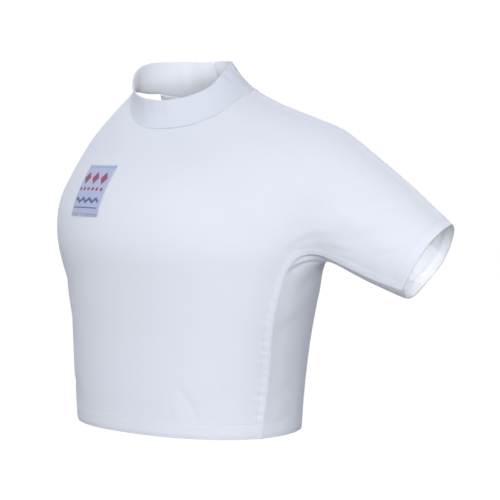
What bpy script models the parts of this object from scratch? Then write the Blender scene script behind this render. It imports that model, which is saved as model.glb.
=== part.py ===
"""One-sleeved fencing jacket (plastron): the worn cloth as hollow, thin-walled panels.

X points to the wearer's left, Y to the back and Z up. The origin lies at the base of the neck,
midway between the two neck points, where the shoulders carry the garment. Sizes are in metres.
"""

from collections import namedtuple

import bmesh
import bpy
import numpy as np

CLOTH = 0.002  # body cloth
HEM_CLOTH = 0.003  # body cloth where a hem is turned in
HEM_HEIGHT = 0.021
CUFF_HEM = 0.014
ARMHOLE_HEM = 0.010
HEM_STEP = 0.002
SEAM_GAP = 0.0003
BLEND = 0.045  # how softly sleeve and body run together

OVERLAP = 0.0125  # each back passes the centre line by this much
UNDERLAP_DROP = 0.0028  # how far the lower layer lies inside the upper one
UNDERLAP_LEAD = 0.008
UNDERLAP_RAMP = 0.016

COLLAR_CLOTH = 0.0028
COLLAR_UNDERLAP_DROP = 0.0034
COLLAR_UNDERLAP = 14.0  # degrees of the collar's lower layer
COLLAR_UNDERLAP_RAMP = 10.0
COLLAR_HOLLOW = 0.0022  # how far the band curves in between its two edges
COLLAR_SLOPE = 0.35  # share of the upward part of the collar's normal along which it has its thickness
BARE_COLLAR_DROP = 0.0095  # how much deeper the band is where no panel meets it
BARE_COLLAR_CURVE = 1.3  # above 1, that extra depth starts and ends more softly
NECK_CENTRE_Y = 0.002
RIM_HALF_WIDTH = 0.068
RIM_FRONT = 0.060
RIM_BACK = 0.062
RIM_CENTRE_Y = -0.014
RIM_TURN = 9.0  # degrees by which the collar's lowest point is turned to the wearer's left
LEFT_NECK_ANGLE = 4.0  # degrees from the wearer's left, towards the back
BARE_FRONT_ANGLE = 196.0  # the front leaves the collar here, on the sleeveless side
BARE_BACK_ANGLE = 152.0  # and the back here

HEM_FRONT_Z = -0.4390
HEM_BACK_Z = -0.4405
HEM_FRONT_Y = -0.12
HEM_BACK_Y = 0.12
PLAIN_CENTRE = 2.5 * OVERLAP  # the hem isn't thickened nearer to the centre back than this

LABEL_CENTRE_X = -0.0625
LABEL_CENTRE_Z = -0.130
LABEL_WIDTH = 0.052
LABEL_HEIGHT = 0.064
LABEL_LEAN = 0.010  # how far its lower edge lies to the wearer's right of its upper edge
LABEL_CLOTH = 0.0010
LABEL_CLEARANCE = 0.0004

# Columns of quads round and up each panel.
FRONT_NECK_COLUMNS = 22
SHOULDER_COLUMNS = 9
BACK_NECK_COLUMNS = 8
SLEEVE_COLUMNS = 15
SIDE_SEAM_ROWS = 19
SLEEVE_ROWS = 13
RIGHT_SIDE_ROWS = 17
SIDE_COLUMNS = 12
COLLAR_COLUMNS = 64
COLLAR_ROWS = 5

# The collar seam's four quarters; it spreads wider on the side that has the sleeve.
Quarter = namedtuple("Quarter", "half_width depth squareness")
NECK_SEARCH_BOTTOM = -0.130  # the collar seam lies on the form between these two heights
NECK_SEARCH_TOP = 0.070
FRONT_LEFT = Quarter(half_width=0.101, depth=0.0705, squareness=2.35)
FRONT_RIGHT = Quarter(half_width=0.086, depth=0.0705, squareness=1.85)
BACK_LEFT = Quarter(half_width=0.101, depth=0.067, squareness=2.0)
BACK_RIGHT = Quarter(half_width=0.086, depth=0.067, squareness=2.2)

# Height of the collar's upper edge, by degrees away from its lowest point.
Rim = namedtuple("Rim", "away z")
RIM_HEIGHT = [
    Rim(away=0.0, z=-0.0155),
    Rim(away=27.0, z=-0.0110),
    Rim(away=60.0, z=0.0040),
    Rim(away=78.0, z=0.0200),
    Rim(away=105.0, z=0.0345),
    Rim(away=130.0, z=0.0380),
    Rim(away=180.0, z=0.0385),
]

Torso = namedtuple("Torso", "z centre_x half_width front back squareness")
TORSO = [
    Torso(z=-0.520, centre_x=-0.003, half_width=0.161, front=0.111, back=0.108, squareness=2.25),
    Torso(z=-0.440, centre_x=-0.003, half_width=0.161, front=0.112, back=0.109, squareness=2.25),
    Torso(z=-0.380, centre_x=-0.002, half_width=0.165, front=0.116, back=0.111, squareness=2.25),
    Torso(z=-0.310, centre_x=0.002, half_width=0.171, front=0.122, back=0.114, squareness=2.25),
    Torso(z=-0.250, centre_x=0.005, half_width=0.180, front=0.131, back=0.119, squareness=2.25),
    Torso(z=-0.190, centre_x=0.003, half_width=0.190, front=0.141, back=0.124, squareness=2.25),
    Torso(z=-0.140, centre_x=0.000, half_width=0.184, front=0.133, back=0.122, squareness=2.2),
    Torso(z=-0.100, centre_x=0.000, half_width=0.164, front=0.110, back=0.116, squareness=2.2),
    Torso(z=-0.050, centre_x=0.000, half_width=0.133, front=0.066, back=0.098, squareness=2.1),
    Torso(z=-0.020, centre_x=0.000, half_width=0.103, front=0.044, back=0.077, squareness=2.0),
    Torso(z=0.000, centre_x=0.000, half_width=0.081, front=0.030, back=0.066, squareness=2.0),
    Torso(z=0.032, centre_x=0.000, half_width=0.050, front=0.020, back=0.045, squareness=2.0),
]

Arm = namedtuple("Arm", "x top bottom centre_y half_depth")
ARM = [
    Arm(x=0.000, top=0.022, bottom=-0.150, centre_y=0.008, half_depth=0.050),
    Arm(x=0.083, top=0.000, bottom=-0.170, centre_y=0.008, half_depth=0.056),
    Arm(x=0.150, top=-0.023, bottom=-0.195, centre_y=0.009, half_depth=0.060),
    Arm(x=0.200, top=-0.040, bottom=-0.207, centre_y=0.010, half_depth=0.060),
    Arm(x=0.237, top=-0.054, bottom=-0.222, centre_y=0.012, half_depth=0.057),
    Arm(x=0.265, top=-0.0740, bottom=-0.235, centre_y=0.015, half_depth=0.053),
    Arm(x=0.320, top=-0.117, bottom=-0.257, centre_y=0.0240, half_depth=0.0478),
    Arm(x=0.377, top=-0.165, bottom=-0.277, centre_y=0.0300, half_depth=0.0410),
    Arm(x=0.420, top=-0.198, bottom=-0.287, centre_y=0.0360, half_depth=0.0390),
]
BARE_SHOULDER_DEPTH = 0.62  # the shoulder without a sleeve is this much as deep as the other
ARM_TOP_SHARPNESS = 1.65
ARM_UNDER_ROUNDNESS = 2.2

# Where the seam on top of shoulder and sleeve is held to the top of the arm.
SHOULDER_PLACES = (0.120, 0.160, 0.202)
OVERARM_PLACES = (0.237, 0.265, 0.300, 0.340, 0.377)

# Points on the seams and free edges, each settled onto the form.
Spot = namedtuple("Spot", "x y z")
LEFT_FRONT_SEAM = [
    Spot(x=0.153, y=-0.0455, z=-0.439),
    Spot(x=0.160, y=-0.0425, z=-0.360),
    Spot(x=0.168, y=-0.0465, z=-0.290),
    Spot(x=0.179, y=-0.0445, z=-0.242),
    Spot(x=0.199, y=-0.0365, z=-0.2105),
    Spot(x=0.222, y=-0.0250, z=-0.2045),
]
UNDER_SLEEVE_FRONT_SEAM = [
    Spot(x=0.222, y=-0.0250, z=-0.2045),
    Spot(x=0.260, y=-0.0205, z=-0.219),
    Spot(x=0.300, y=-0.0145, z=-0.236),
    Spot(x=0.332, y=-0.0120, z=-0.246),
]
LEFT_BACK_SEAM = [
    Spot(x=0.153, y=0.050, z=-0.455),
    Spot(x=0.160, y=0.050, z=-0.360),
    Spot(x=0.168, y=0.052, z=-0.290),
    Spot(x=0.178, y=0.052, z=-0.245),
    Spot(x=0.196, y=0.050, z=-0.216),
    Spot(x=0.222, y=0.050, z=-0.208),
]
UNDER_SLEEVE_BACK_SEAM = [
    Spot(x=0.222, y=0.050, z=-0.208),
    Spot(x=0.255, y=0.052, z=-0.220),
    Spot(x=0.290, y=0.056, z=-0.235),
    Spot(x=0.322, y=0.060, z=-0.249),
]
CUFF_FRONT = [
    Spot(x=0.332, y=-0.012, z=-0.246),
    Spot(x=0.352, y=-0.018, z=-0.215),
    Spot(x=0.367, y=-0.004, z=-0.185),
    Spot(x=0.377, y=0.030, z=-0.162),
]
CUFF_BACK = [
    Spot(x=0.322, y=0.060, z=-0.249),
    Spot(x=0.342, y=0.073, z=-0.217),
    Spot(x=0.361, y=0.060, z=-0.184),
    Spot(x=0.377, y=0.030, z=-0.162),
]
CUFF_UNDER = [
    Spot(x=0.332, y=-0.012, z=-0.246),
    Spot(x=0.3235, y=0.022, z=-0.259),
    Spot(x=0.322, y=0.060, z=-0.249),
]
FRONT_TO_SHOULDER = [
    Spot(x=0.222, y=-0.025, z=-0.2045),
    Spot(x=0.217, y=-0.050, z=-0.150),
    Spot(x=0.208, y=-0.040, z=-0.090),
    Spot(x=0.202, y=0.010, z=-0.041),
]
BACK_TO_SHOULDER = [
    Spot(x=0.222, y=0.050, z=-0.208),
    Spot(x=0.217, y=0.070, z=-0.150),
    Spot(x=0.208, y=0.058, z=-0.090),
    Spot(x=0.202, y=0.010, z=-0.041),
]
RIGHT_SIDE_SEAM = [
    Spot(x=-0.168, y=0.0, z=-0.4515),
    Spot(x=-0.172, y=0.0, z=-0.360),
    Spot(x=-0.180, y=0.0, z=-0.270),
    Spot(x=-0.186, y=0.0, z=-0.215),
]
ARMHOLE_FRONT = [
    Spot(x=-0.186, y=0.0, z=-0.215),
    Spot(x=-0.186, y=-0.044, z=-0.196),
    Spot(x=-0.173, y=-0.070, z=-0.150),
    Spot(x=-0.149, y=-0.063, z=-0.103),
    Spot(x=-0.126, y=-0.042, z=-0.060),
    Spot(x=-0.101, y=-0.026, z=-0.028),
]
ARMHOLE_BACK = [
    Spot(x=-0.186, y=0.0, z=-0.215),
    Spot(x=-0.180, y=0.045, z=-0.192),
    Spot(x=-0.165, y=0.075, z=-0.150),
    Spot(x=-0.143, y=0.086, z=-0.100),
    Spot(x=-0.114, y=0.078, z=-0.050),
    Spot(x=-0.088, y=0.056, z=-0.014),
]

# Soft folds: each runs from its first spot to its second and stands out by its height.
FOLD_END_SHARE = 0.35  # a fold's height at its ends, as a share of its middle height
FOLD_FULLNESS = 0.7  # below 1, a fold keeps its height further towards its ends
RELAX_STEP = 0.7
FRONT_LEAD = (0.0, -0.03, 0.0)  # the side to which each panel's inner points start out
BACK_LEAD = (0.0, 0.03, 0.0)
SIDE_LEAD = (0.0, 0.0, -0.004)
Fold = namedtuple("Fold", "x y z to_x to_y to_z width height")
FOLDS = [
    Fold(x=0.174, y=-0.046, z=-0.256, to_x=0.212, to_y=0.020, to_z=-0.226, width=0.0100, height=0.0034),
    Fold(x=0.170, y=-0.046, z=-0.284, to_x=0.196, to_y=0.030, to_z=-0.254, width=0.0100, height=0.0024),
    Fold(x=0.176, y=0.058, z=-0.258, to_x=0.212, to_y=0.006, to_z=-0.230, width=0.0100, height=0.0026),
    Fold(x=0.215, y=-0.052, z=-0.178, to_x=0.300, to_y=-0.036, to_z=-0.160, width=0.0170, height=0.0022),
    Fold(x=0.232, y=-0.046, z=-0.120, to_x=0.318, to_y=-0.030, to_z=-0.190, width=0.0160, height=0.0018),
    Fold(x=0.215, y=0.070, z=-0.175, to_x=0.300, to_y=0.066, to_z=-0.160, width=0.0170, height=0.0022),
    Fold(x=0.120, y=0.095, z=-0.110, to_x=0.180, to_y=0.078, to_z=-0.170, width=0.0190, height=0.0020),
]


def columns_at(rows, key, at):
    """Each column of a table, as a smooth curve through its rows, where the key column is `at`."""
    table = np.array(rows, float)
    known = table[:, rows[0]._fields.index(key)]
    at = np.clip(at, known[0], known[-1])
    span = np.diff(known)[:, None]
    slope = np.diff(table, axis=0) / span
    between = (slope[:-1] * span[1:] + slope[1:] * span[:-1]) / (span[1:] + span[:-1])
    tangent = np.vstack([slope[:1], between, slope[-1:]])
    i = np.clip(np.searchsorted(known, at, side="right") - 1, 0, len(known) - 2)
    t = ((at - known[i]) / span[i, 0])[..., None]
    width = span[i]
    values = (
        (1 + 2 * t) * (1 - t) ** 2 * table[i]
        + t * (1 - t) ** 2 * width * tangent[i]
        + t * t * (3 - 2 * t) * table[i + 1]
        + t * t * (t - 1) * width * tangent[i + 1]
    )
    return dict(zip(rows[0]._fields, np.moveaxis(values, -1, 0)))


def round_distance(u, v, half_u, half_v, power):
    """Distance out of a rounded section, measured from its middle; negative inside."""
    reach = np.hypot(u, v) + 1e-9
    ratio = ((np.abs(u) / half_u) ** power + (np.abs(v) / half_v) ** power + 1e-12) ** (1 / power)
    return reach * (1 - 1 / ratio)


def torso_distance(p):
    row = columns_at(TORSO, "z", p[..., 2])
    depth = np.where(p[..., 1] < 0, row["front"], row["back"])
    across = p[..., 0] - row["centre_x"]
    return round_distance(across, p[..., 1], row["half_width"], depth, row["squareness"])


def arm_distance(p):
    row = columns_at(ARM, "x", np.abs(p[..., 0]))
    bare = smooth_step(-p[..., 0] / 0.06)
    bottom = np.where(p[..., 0] < 0, ARM[0].bottom, row["bottom"])
    half_depth = row["half_depth"] * (1 - (1 - BARE_SHOULDER_DEPTH) * bare)
    up = p[..., 2] - (row["top"] + bottom) / 2
    half_height = (row["top"] - bottom) / 2
    power = np.where(up > 0, ARM_TOP_SHARPNESS, ARM_UNDER_ROUNDNESS)
    return round_distance(up, p[..., 1] - row["centre_y"], half_height, half_depth, power)


def form(p):
    """Signed size outside (+) or inside (-) the worn shape: body and sleeve run together."""
    torso = torso_distance(p)
    arm = arm_distance(p)
    near = np.maximum(BLEND - np.abs(torso - arm), 0) / BLEND
    return np.minimum(torso, arm) - near * near * BLEND / 4


def gradient(p, step=1e-4):
    slopes = []
    for axis in np.eye(3):
        slopes.append((form(p + step * axis) - form(p - step * axis)) / (2 * step))
    return np.stack(slopes, -1)


def settle(p, rounds=12):
    """Moves points onto the form, straight along its slope."""
    for _ in range(rounds):
        g = gradient(p)
        p = p - np.clip(form(p), -0.01, 0.01)[..., None] * g / (g * g).sum(-1, keepdims=True)
    return p


def outward(p):
    g = gradient(p, 1e-3)
    return g / np.linalg.norm(g, axis=-1, keepdims=True)


def along(spots, count):
    """`count` points spaced evenly along the smooth curve through the spots, on the form."""
    p = np.array(spots, float)
    Knot = namedtuple("Knot", "s x y z")
    for _ in range(3):
        s = np.concatenate([[0], np.cumsum(np.linalg.norm(np.diff(p, axis=0), axis=1))])
        rows = [Knot(a, *b) for a, b in zip(s, p)]
        row = columns_at(rows, "s", np.linspace(0, s[-1], max(count, 60)))
        p = settle(np.stack([row["x"], row["y"], row["z"]], -1))
    s = np.concatenate([[0], np.cumsum(np.linalg.norm(np.diff(p, axis=0), axis=1))])
    wanted = np.linspace(0, s[-1], count)
    return settle(np.stack([np.interp(wanted, s, p[:, axis]) for axis in range(3)], -1))


def join_curves(*curves):
    """Curves end to end, each shared end kept once."""
    return np.concatenate([curves[0]] + [curve[1:] for curve in curves[1:]])


def cross(inside, outside, rounds=40):
    """The points where lines from inside the form to outside cross it."""
    for _ in range(rounds):
        middle = (inside + outside) / 2
        out = (form(middle) > 0)[..., None]
        inside = np.where(out, inside, middle)
        outside = np.where(out, middle, outside)
    return (inside + outside) / 2


def neck_ring(degrees):
    """The collar seam at these angles from the wearer's left, turning towards the back."""
    angle = np.radians(np.asarray(degrees, float))
    across, deep = np.cos(angle), np.sin(angle)
    quarter = (2 * (deep >= 0) + (across < 0)).astype(int)
    half_width, depth, squareness = np.array([FRONT_LEFT, FRONT_RIGHT, BACK_LEFT, BACK_RIGHT]).T[:, quarter]
    x = half_width * np.sign(across) * np.abs(across) ** (2 / squareness)
    y = NECK_CENTRE_Y + depth * np.sign(deep) * np.abs(deep) ** (2 / squareness)
    low = np.stack([x, y, np.full_like(x, NECK_SEARCH_BOTTOM)], -1)
    high = np.stack([x, y, np.full_like(x, NECK_SEARCH_TOP)], -1)
    return cross(low, high)


def neck_angle(x):
    """The angle at which the collar seam's back half stands this far from the centre line."""
    quarter = BACK_LEFT if x > 0 else BACK_RIGHT
    return np.degrees(np.arccos(np.sign(x) * (abs(x) / quarter.half_width) ** (quarter.squareness / 2)))


def hem_z(y):
    return HEM_FRONT_Z + (HEM_BACK_Z - HEM_FRONT_Z) * (y - HEM_FRONT_Y) / (HEM_BACK_Y - HEM_FRONT_Y)


def hem_curve(start, end, count):
    """The lower edge from one point to another, going round the body at the hem's height."""
    turn = np.unwrap([np.arctan2(start[1], start[0]), np.arctan2(end[1], end[0])])
    angle = np.linspace(turn[0], turn[1], 200)
    p = None
    height = np.full_like(angle, HEM_FRONT_Z)
    for _ in range(4):
        middle = np.stack([0 * angle, 0 * angle, height], -1)
        p = cross(middle, np.stack([0.4 * np.cos(angle), 0.4 * np.sin(angle), height], -1))
        height = hem_z(p[:, 1])
    s = np.concatenate([[0], np.cumsum(np.linalg.norm(np.diff(p, axis=0), axis=1))])
    wanted = np.linspace(0, s[-1], count)
    return np.stack([np.interp(wanted, s, p[:, axis]) for axis in range(3)], -1)


def on_hem(spot):
    """The hem's point straight out from the middle through this spot."""
    p = np.array(spot, float)
    for _ in range(3):
        p[2] = hem_z(p[1])
        p = cross(p * [0.0, 0.0, 1.0], p * [2.5, 2.5, 1.0])
    return p


def centre_back(x, count):
    """The closing edge of a back, from hem to collar, at a fixed distance from the centre line."""
    top = neck_ring([neck_angle(x)])[0]
    z = np.linspace(hem_z(HEM_BACK_Y), top[2], count)
    inner = np.stack([np.full_like(z, x), np.full_like(z, 0.0), z], -1)
    outer = np.stack([np.full_like(z, x), np.full_like(z, 0.3), z], -1)
    p = cross(inner, outer)
    p[-1] = top
    return p


def coons(bottom, top, left, right):
    """A grid of points between four edges; bottom and top run left to right, the others upward."""
    u = np.linspace(0, 1, len(bottom))[None, :, None]
    v = np.linspace(0, 1, len(left))[:, None, None]
    across = (1 - v) * bottom[None] + v * top[None]
    upward = (1 - u) * left[:, None] + u * right[:, None]
    low = (1 - u) * bottom[0] + u * bottom[-1]
    high = (1 - u) * top[0] + u * top[-1]
    return across + upward - (1 - v) * low - v * high


def grid_quads(rows, columns, start=0):
    """Quads over a grid of points numbered along its rows."""
    index = start + np.arange(rows * columns).reshape(rows, columns)
    return np.stack([index[:-1, :-1], index[:-1, 1:], index[1:, 1:], index[1:, :-1]], -1).reshape(-1, 4)


def edges_of(quads):
    return np.concatenate([quads[:, [k, (k + 1) % 4]] for k in range(4)])


def rim_of(quads):
    """The directed edges that belong to one quad only."""
    directed = edges_of(quads)
    known = {tuple(edge) for edge in directed}
    return np.array([edge for edge in directed if (edge[1], edge[0]) not in known])


def relax(p, quads, fixed, rounds=120):
    """Evens out the inner points over the form, leaving the fixed ones where they are."""
    ends = edges_of(quads)
    ends = np.concatenate([ends, ends[:, ::-1]])
    count = np.bincount(ends[:, 0], minlength=len(p))[:, None]
    for turn in range(rounds):
        total = np.zeros_like(p)
        np.add.at(total, ends[:, 0], p[ends[:, 1]])
        moved = p + RELAX_STEP * (total / count - p)
        moved = settle(moved, 2 if turn < rounds - 1 else 8)
        p = np.where(fixed[:, None], p, moved)
    return p


def weld(p, quads):
    """Makes one point of any two that coincide."""
    keys = np.round(p / 1e-6).astype(np.int64)
    _, first, index = np.unique(keys, axis=0, return_index=True, return_inverse=True)
    return p[first], index.reshape(-1)[quads]


def facing_out(p, quads):
    """Turns the quads so that they face away from the form's inside."""
    corners = p[quads]
    normal = np.cross(corners[:, 2] - corners[:, 0], corners[:, 3] - corners[:, 1])
    if (normal * outward(corners.mean(1))).sum() < 0:
        return quads[:, ::-1]
    return quads


def draw_in_rim(p, quads, amount):
    """Moves each edge point into its panel, so that neighbours stand a seam's gap apart."""
    normal = outward(p)
    push = np.zeros_like(p)
    for a, b in rim_of(quads):
        side = np.cross(normal[a] + normal[b], p[b] - p[a])
        side /= np.linalg.norm(side)
        for k in (a, b):
            push[k] += side
    size = np.linalg.norm(push, axis=1, keepdims=True)
    on_rim = size[:, 0] > 1e-6
    direction = push[on_rim] / size[on_rim]
    stretch = np.clip(2 / size[on_rim], 1.0, 1.6)
    p = p.copy()
    p[on_rim] += amount * direction * stretch
    return p


def fold_height(p):
    """How far the soft folds lift the cloth at each point."""
    lift = np.zeros(len(p))
    for fold in FOLDS:
        a = np.array([fold.x, fold.y, fold.z])
        b = np.array([fold.to_x, fold.to_y, fold.to_z])
        t = np.clip(((p - a) @ (b - a)) / ((b - a) @ (b - a)), 0, 1)
        away = np.linalg.norm(p - a - t[:, None] * (b - a), axis=1)
        along = FOLD_END_SHARE + (1 - FOLD_END_SHARE) * np.sin(np.pi * t) ** FOLD_FULLNESS
        lift += fold.height * np.exp(-((away / fold.width) ** 2)) * along
    return lift


def smooth_step(t):
    t = np.clip(t, 0, 1)
    return t * t * (3 - 2 * t)


def distance_to_line(p, line):
    """Distance of each point from a chain of points."""
    best = np.full(len(p), np.inf)
    for a, b in zip(line[:-1], line[1:]):
        t = np.clip(((p - a) @ (b - a)) / ((b - a) @ (b - a) + 1e-12), 0, 1)
        best = np.minimum(best, np.linalg.norm(p - a - t[:, None] * (b - a), axis=1))
    return best


def make_material(name, colour, roughness):
    material = bpy.data.materials.new(name)
    material.use_nodes = True
    shader = material.node_tree.nodes["Principled BSDF"]
    shader.inputs["Base Color"].default_value = (*colour, 1.0)
    shader.inputs["Roughness"].default_value = roughness
    return material


def make_object(name, outer, inner, quads, colour, roughness=0.85):
    """A closed wall between two matching skins, as one named object."""
    count = len(outer)
    rim = rim_of(quads)
    walls = np.stack([rim[:, 1], rim[:, 0], rim[:, 0] + count, rim[:, 1] + count], -1)
    faces = np.concatenate([quads, quads[:, ::-1] + count, walls])
    mesh = bpy.data.meshes.new(name)
    mesh.from_pydata(np.concatenate([outer, inner]).tolist(), [], faces.tolist())
    mesh.validate()
    body = bmesh.new()
    body.from_mesh(mesh)
    bmesh.ops.recalc_face_normals(body, faces=body.faces)
    if body.calc_volume(signed=True) < 0:
        bmesh.ops.reverse_faces(body, faces=body.faces)
    bmesh.ops.triangulate(body, faces=body.faces)
    body.to_mesh(mesh)
    body.free()
    mesh.materials.append(make_material(name + "_cloth", colour, roughness))
    thing = bpy.data.objects.new(name, mesh)
    bpy.context.scene.collection.objects.link(thing)
    return thing


def make_panel(name, p, quads, colour, hems=(), lowered=None):
    """A panel's wall: outer skin on the form, inner skin a cloth's thickness inside it."""
    quads = facing_out(p, quads)
    p = draw_in_rim(p, quads, SEAM_GAP / 2)
    normal = outward(p)
    depth = np.full(len(p), CLOTH)
    for line, height in hems:
        near = smooth_step((height + HEM_STEP - distance_to_line(p, line)) / HEM_STEP)
        depth = np.maximum(depth, CLOTH + (HEM_CLOTH - CLOTH) * near)
    lift = fold_height(p)
    if lowered is not None:
        lift = lift - lowered(p)
    if name.startswith("back"):
        depth = np.where(np.abs(p[:, 0]) < PLAIN_CENTRE, CLOTH, depth)
    outer = p + normal * lift[:, None]
    inner = p + normal * (lift - depth)[:, None]
    return make_object(name, outer, inner, quads, colour)


def top_of_arm(first, places, count):
    """A seam from a first point along the top of the arm, through these places on it."""
    spots = [Spot(*first)]
    for x in places:
        row = columns_at(ARM, "x", np.array(x))
        spots.append(Spot(x, float(row["centre_y"]), float(row["top"])))
    return along(spots, count)


def pinned(spots, count, first=None, last=None):
    """A seam through these spots whose ends are exactly the given points."""
    spots = list(spots)
    if first is not None:
        spots[0] = Spot(*first)
    if last is not None:
        spots[-1] = Spot(*last)
    curve = along(spots, count)
    if first is not None:
        curve[0] = first
    if last is not None:
        curve[-1] = last
    return curve


def build():
    """All panels, from the seams that they share."""
    side_rows = SIDE_SEAM_ROWS + 1
    sleeve_rows = SLEEVE_ROWS + 1
    rows = SIDE_SEAM_ROWS + SLEEVE_ROWS + 1
    sleeve_points = SLEEVE_COLUMNS + 1

    shoulder = top_of_arm(neck_ring([LEFT_NECK_ANGLE])[0], SHOULDER_PLACES, SHOULDER_COLUMNS + 1)
    overarm = top_of_arm(shoulder[-1], OVERARM_PLACES, sleeve_points)

    front_seam = pinned(LEFT_FRONT_SEAM, side_rows, first=on_hem(LEFT_FRONT_SEAM[0]))
    under_front = pinned(UNDER_SLEEVE_FRONT_SEAM, sleeve_points, first=front_seam[-1])
    back_seam = pinned(LEFT_BACK_SEAM, side_rows, first=on_hem(LEFT_BACK_SEAM[0]))
    under_back = pinned(UNDER_SLEEVE_BACK_SEAM, sleeve_points, first=back_seam[-1])
    cuff_front = pinned(CUFF_FRONT, sleeve_rows, first=under_front[-1], last=overarm[-1])
    cuff_back = pinned(CUFF_BACK, sleeve_rows, first=under_back[-1], last=overarm[-1])
    cuff_under = pinned(CUFF_UNDER, SIDE_COLUMNS + 1, first=under_front[-1], last=under_back[-1])
    front_rise = pinned(FRONT_TO_SHOULDER, sleeve_rows, first=front_seam[-1], last=shoulder[-1])
    back_rise = pinned(BACK_TO_SHOULDER, sleeve_rows, first=back_seam[-1], last=shoulder[-1])

    right_rows = RIGHT_SIDE_ROWS
    right_side = pinned(RIGHT_SIDE_SEAM, right_rows + 1, first=on_hem(RIGHT_SIDE_SEAM[0]))
    neck_right_front = neck_ring([BARE_FRONT_ANGLE])[0]
    neck_right_back = neck_ring([BARE_BACK_ANGLE])[0]
    armhole_rows = rows - right_rows
    front_spots = ARMHOLE_FRONT + [Spot(*neck_right_front)]
    back_spots = ARMHOLE_BACK + [Spot(*neck_right_back)]
    armhole_front = pinned(front_spots, armhole_rows, first=right_side[-1], last=neck_right_front)
    armhole_back = pinned(back_spots, armhole_rows, first=right_side[-1], last=neck_right_back)

    front_columns = FRONT_NECK_COLUMNS + SHOULDER_COLUMNS + 1
    front_degrees = np.linspace(BARE_FRONT_ANGLE, 360 + LEFT_NECK_ANGLE, FRONT_NECK_COLUMNS + 1)
    neck_front = neck_ring(front_degrees)
    front_hem = hem_curve(right_side[0], front_seam[0], front_columns)
    front_hem[0], front_hem[-1] = right_side[0], front_seam[0]

    front_top = join_curves(neck_front, shoulder)
    front_right = join_curves(right_side, armhole_front)
    grid = coons(front_hem, front_top, front_right, join_curves(front_seam, front_rise))
    sleeve = coons(under_front, overarm, front_rise, cuff_front)
    p, quads = joined_blocks(grid, sleeve)
    p = settle_from(p, quads, np.array(FRONT_LEAD), front_rise)
    parts = {}
    hems = [(front_hem, HEM_HEIGHT), (cuff_front, CUFF_HEM), (armhole_front, ARMHOLE_HEM)]
    parts["front"] = (p, quads, hems)

    back_columns = BACK_NECK_COLUMNS + SHOULDER_COLUMNS + 1
    neck_back = neck_ring(np.linspace(neck_angle(-OVERLAP), LEFT_NECK_ANGLE, BACK_NECK_COLUMNS + 1))
    closing = centre_back(-OVERLAP, rows)
    back_hem = hem_curve(closing[0], back_seam[0], back_columns)
    back_hem[0], back_hem[-1] = closing[0], back_seam[0]
    grid = coons(back_hem, join_curves(neck_back, shoulder), closing, join_curves(back_seam, back_rise))
    sleeve = coons(under_back, overarm, back_rise, cuff_back)
    p, quads = joined_blocks(grid, sleeve)
    p = settle_from(p, quads, np.array(BACK_LEAD), back_rise)
    parts["back_left"] = (p, quads, [(back_hem, HEM_HEIGHT), (cuff_back, CUFF_HEM)])

    right_columns = BACK_NECK_COLUMNS + SHOULDER_COLUMNS - 2
    neck_bare = neck_ring(np.linspace(neck_angle(OVERLAP), BARE_BACK_ANGLE, right_columns))
    closing = centre_back(OVERLAP, rows)
    right_hem = hem_curve(closing[0], right_side[0], right_columns)
    right_hem[0], right_hem[-1] = closing[0], right_side[0]
    grid = coons(right_hem, neck_bare, closing, join_curves(right_side, armhole_back))
    p = grid.reshape(-1, 3)
    quads = grid_quads(*grid.shape[:2])
    p, quads = weld(p, quads)
    p = settle_from(p, quads, np.array(BACK_LEAD))
    parts["back_right"] = (p, quads, [(right_hem, HEM_HEIGHT), (armhole_back, ARMHOLE_HEM)])

    side_hem = hem_curve(front_seam[0], back_seam[0], SIDE_COLUMNS + 1)
    side_hem[0], side_hem[-1] = front_seam[0], back_seam[0]
    long_front = join_curves(front_seam, under_front)
    long_back = join_curves(back_seam, under_back)
    grid = coons(side_hem, cuff_under, long_front, long_back)
    p = grid.reshape(-1, 3)
    quads = grid_quads(*grid.shape[:2])
    p, quads = weld(p, quads)
    p = settle_from(p, quads, np.array(SIDE_LEAD))
    parts["side_left"] = (p, quads, [(side_hem, HEM_HEIGHT), (cuff_under, CUFF_HEM)])
    return parts


def joined_blocks(body, sleeve):
    """Two grids as one net of points; the sleeve's first column lies on the body's last one."""
    p = np.concatenate([body.reshape(-1, 3), sleeve.reshape(-1, 3)])
    sleeve_quads = grid_quads(*sleeve.shape[:2], start=body.shape[0] * body.shape[1])
    return weld(p, np.concatenate([grid_quads(*body.shape[:2]), sleeve_quads]))


def settle_from(p, quads, lead, kept=()):
    """Brings a net's inner points onto the form from the side that `lead` names, then evens them."""
    fixed = np.zeros(len(p), bool)
    fixed[rim_of(quads).ravel()] = True
    for spot in kept:
        fixed |= np.linalg.norm(p - spot, axis=1) < 2e-6
    start = settle(p + lead, 20)
    p = np.where(fixed[:, None], p, start)
    return relax(p, quads, fixed)


def underlap(p):
    """How far the lower layer at the centre back lies inside the upper one."""
    return UNDERLAP_DROP * smooth_step((p[:, 0] + OVERLAP + UNDERLAP_LEAD + UNDERLAP_RAMP) / UNDERLAP_RAMP)


def rim_ring(degrees):
    """The collar's upper edge at these angles."""
    angle = np.radians(np.asarray(degrees, float))
    depth = np.where(np.sin(angle) < 0, RIM_FRONT, RIM_BACK)
    x = RIM_HALF_WIDTH * np.cos(angle)
    y = RIM_CENTRE_Y + depth * np.sin(angle)
    away = np.degrees(np.arccos(np.cos(angle + np.radians(90 - RIM_TURN))))
    return np.stack([x, y, columns_at(RIM_HEIGHT, "away", away)["z"]], -1)


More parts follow.
